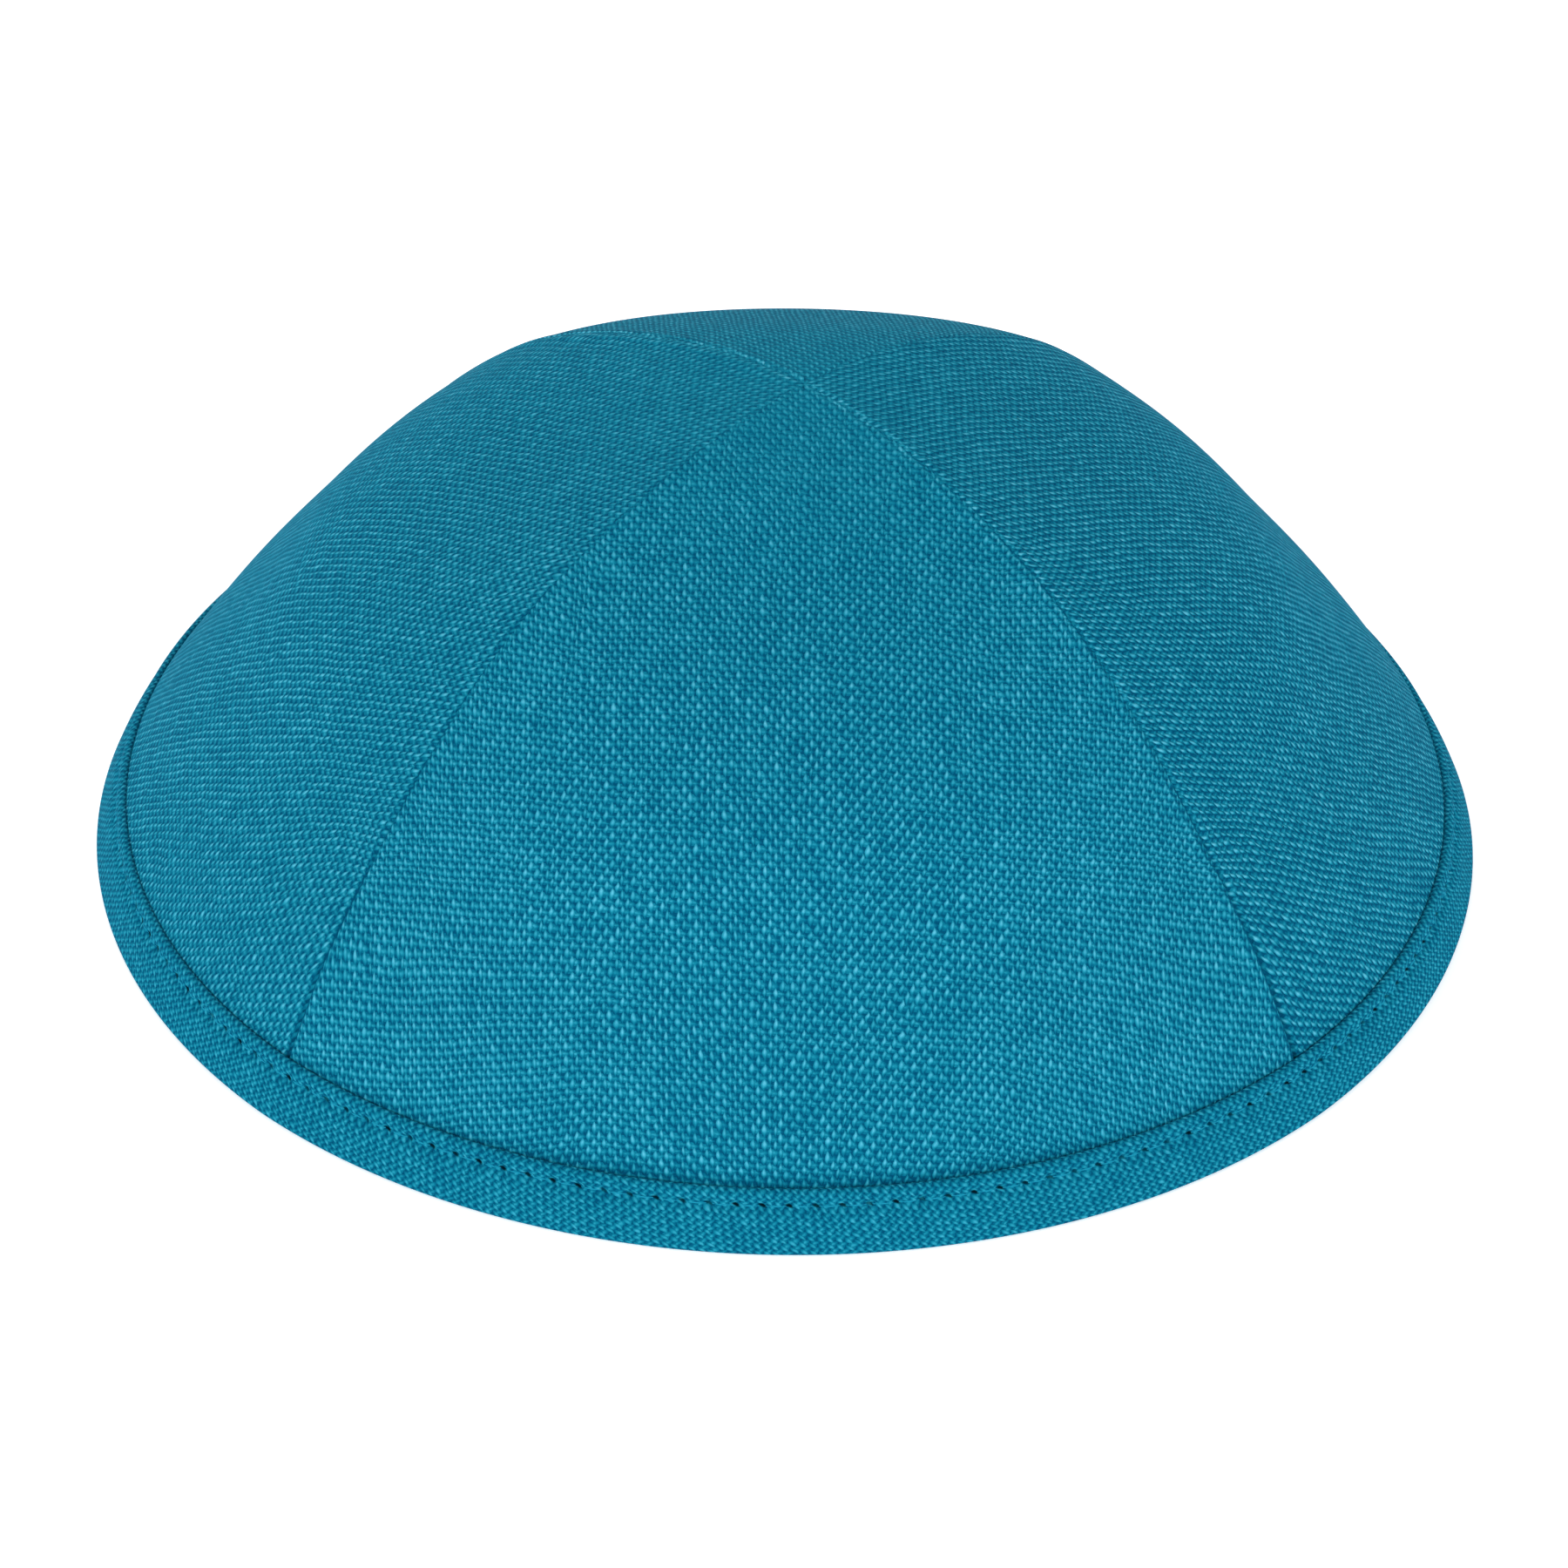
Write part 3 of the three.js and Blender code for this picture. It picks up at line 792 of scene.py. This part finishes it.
# Topstitching
# One row of lockstitches through the binding and the panels' edge, in thread of the cloth's colour.
# The same row shows on both faces, each stitch sunk in the groove between two needle holes.
THREAD_RADIUS = 0.13 * MM
THREAD_SUNK = 0.08 * MM
THREAD_COLOUR = (0.008, 0.240, 0.370, 1)
THREAD_SIDES = 8
STITCH_LENGTH = 2.2 * MM
STITCH_DIP = 0.25 * MM
STITCH_SEGMENTS = 10


def stitch_points(out, hole_side):
    """Places of the stitches on one face of the binding, and their turns: x along the row, z outward."""
    azimuth = FIRST_HOLE + (np.arange(STITCHES) + 0.5) * 4 * QUARTER / STITCHES
    up_slope = np.full(STITCHES, TAPE_WIDTH - STITCH_BELOW_EDGE)
    out = out - hole_side * pressed_in(azimuth)
    at = cap_point(row_above(up_slope, azimuth, out), azimuth, out)
    along = np.stack([-np.sin(azimuth), np.cos(azimuth), np.zeros(STITCHES)], axis=-1)
    facing = outward(RIM - up_slope / TAPE_WIDTH, azimuth) * hole_side
    away = np.stack([facing[:, 0] * np.cos(azimuth), facing[:, 0] * np.sin(azimuth), facing[:, 1]], axis=-1)
    turns = []
    for x_axis, z_axis in zip(along, away):
        y_axis = np.cross(z_axis, x_axis)
        turns.append(Matrix((x_axis, y_axis, z_axis)).transposed().to_quaternion())
    return at, turns


def stitch_group():
    """A stitch, bowed like thread pulled down at both ends, laid on every point and turned with it."""
    tree = bpy.data.node_groups.new("stitches", "GeometryNodeTree")
    tree.interface.new_socket("Geometry", in_out="INPUT", socket_type="NodeSocketGeometry")
    tree.interface.new_socket("Length", in_out="INPUT", socket_type="NodeSocketFloat")
    tree.interface.new_socket("Dip", in_out="INPUT", socket_type="NodeSocketFloat")
    tree.interface.new_socket("Thread Radius", in_out="INPUT", socket_type="NodeSocketFloat")
    tree.interface.new_socket("Material", in_out="INPUT", socket_type="NodeSocketMaterial")
    tree.interface.new_socket("Geometry", in_out="OUTPUT", socket_type="NodeSocketGeometry")
    entry = tree.nodes.new("NodeGroupInput")
    leave = tree.nodes.new("NodeGroupOutput")
    half_length = calculate(tree, "MULTIPLY", entry.outputs["Length"], 0.5)
    minus_half = calculate(tree, "MULTIPLY", entry.outputs["Length"], -0.5)
    down = calculate(tree, "MULTIPLY", entry.outputs["Dip"], -1.0)
    bow = tree.nodes.new("GeometryNodeCurveQuadraticBezier")
    bow.inputs["Resolution"].default_value = STITCH_SEGMENTS
    bow_points = (
        ("Start", minus_half, down),
        ("Middle", 0.0, entry.outputs["Dip"]),
        ("End", half_length, down),
    )
    for name, x, z in bow_points:
        place = tree.nodes.new("ShaderNodeCombineXYZ")
        put(tree, place.inputs["X"], x)
        put(tree, place.inputs["Z"], z)
        tree.links.new(place.outputs[0], bow.inputs[name])
    ring = tree.nodes.new("GeometryNodeCurvePrimitiveCircle")
    ring.inputs["Resolution"].default_value = THREAD_SIDES
    tree.links.new(entry.outputs["Thread Radius"], ring.inputs["Radius"])
    thread = tree.nodes.new("GeometryNodeCurveToMesh")
    tree.links.new(bow.outputs["Curve"], thread.inputs["Curve"])
    tree.links.new(ring.outputs["Curve"], thread.inputs["Profile Curve"])
    thread.inputs["Fill Caps"].default_value = True
    turn = tree.nodes.new("GeometryNodeInputNamedAttribute")
    turn.data_type = "QUATERNION"
    turn.inputs["Name"].default_value = "turn"
    lay = tree.nodes.new("GeometryNodeInstanceOnPoints")
    tree.links.new(entry.outputs["Geometry"], lay.inputs["Points"])
    tree.links.new(thread.outputs["Mesh"], lay.inputs["Instance"])
    tree.links.new(turn.outputs["Attribute"], lay.inputs["Rotation"])
    real = tree.nodes.new("GeometryNodeRealizeInstances")
    tree.links.new(lay.outputs["Instances"], real.inputs["Geometry"])
    dyed = tree.nodes.new("GeometryNodeSetMaterial")
    tree.links.new(real.outputs["Geometry"], dyed.inputs["Geometry"])
    tree.links.new(entry.outputs["Material"], dyed.inputs["Material"])
    tree.links.new(dyed.outputs["Geometry"], leave.inputs["Geometry"])
    return tree


thread_dye = bpy.data.materials.new("sewing thread")
thread_dye.use_nodes = True
thread_surface = thread_dye.node_tree.nodes["Principled BSDF"]
thread_surface.inputs["Base Color"].default_value = THREAD_COLOUR
thread_surface.inputs["Roughness"].default_value = 0.9
thread_surface.inputs["Specular IOR Level"].default_value = 0.05

outer_at, outer_turns = stitch_points(TAPE_PROUD - GROOVE_DEPTH - THREAD_SUNK, 1)
inner_at, inner_turns = stitch_points(-CLOTH - TAPE_PROUD + GROOVE_DEPTH + THREAD_SUNK, -1)
rows_mesh = bpy.data.meshes.new("stitch_rows")
rows_mesh.from_pydata(np.vstack([outer_at, inner_at]).tolist(), [], [])
turn_data = rows_mesh.attributes.new("turn", "QUATERNION", "POINT")
for item, turned in zip(turn_data.data, outer_turns + inner_turns):
    item.value = turned
rows_object = bpy.data.objects.new("stitch_rows", rows_mesh)
scene.collection.objects.link(rows_object)
laying = rows_object.modifiers.new("stitches", "NODES")
laying.node_group = stitch_group()
values = {"Length": STITCH_LENGTH, "Dip": STITCH_DIP, "Thread Radius": THREAD_RADIUS, "Material": thread_dye}
for socket in laying.node_group.interface.items_tree:
    if socket.in_out == "INPUT" and socket.name in values:
        laying[socket.identifier] = values[socket.name]
evaluated = rows_object.evaluated_get(bpy.context.evaluated_depsgraph_get())
stitch_mesh = bpy.data.meshes.new_from_object(evaluated)
bpy.data.objects.remove(rows_object)
stitch_mesh.shade_smooth()
stitches = bpy.data.objects.new("topstitching", stitch_mesh)
scene.collection.objects.link(stitches)
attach(stitches, "root")
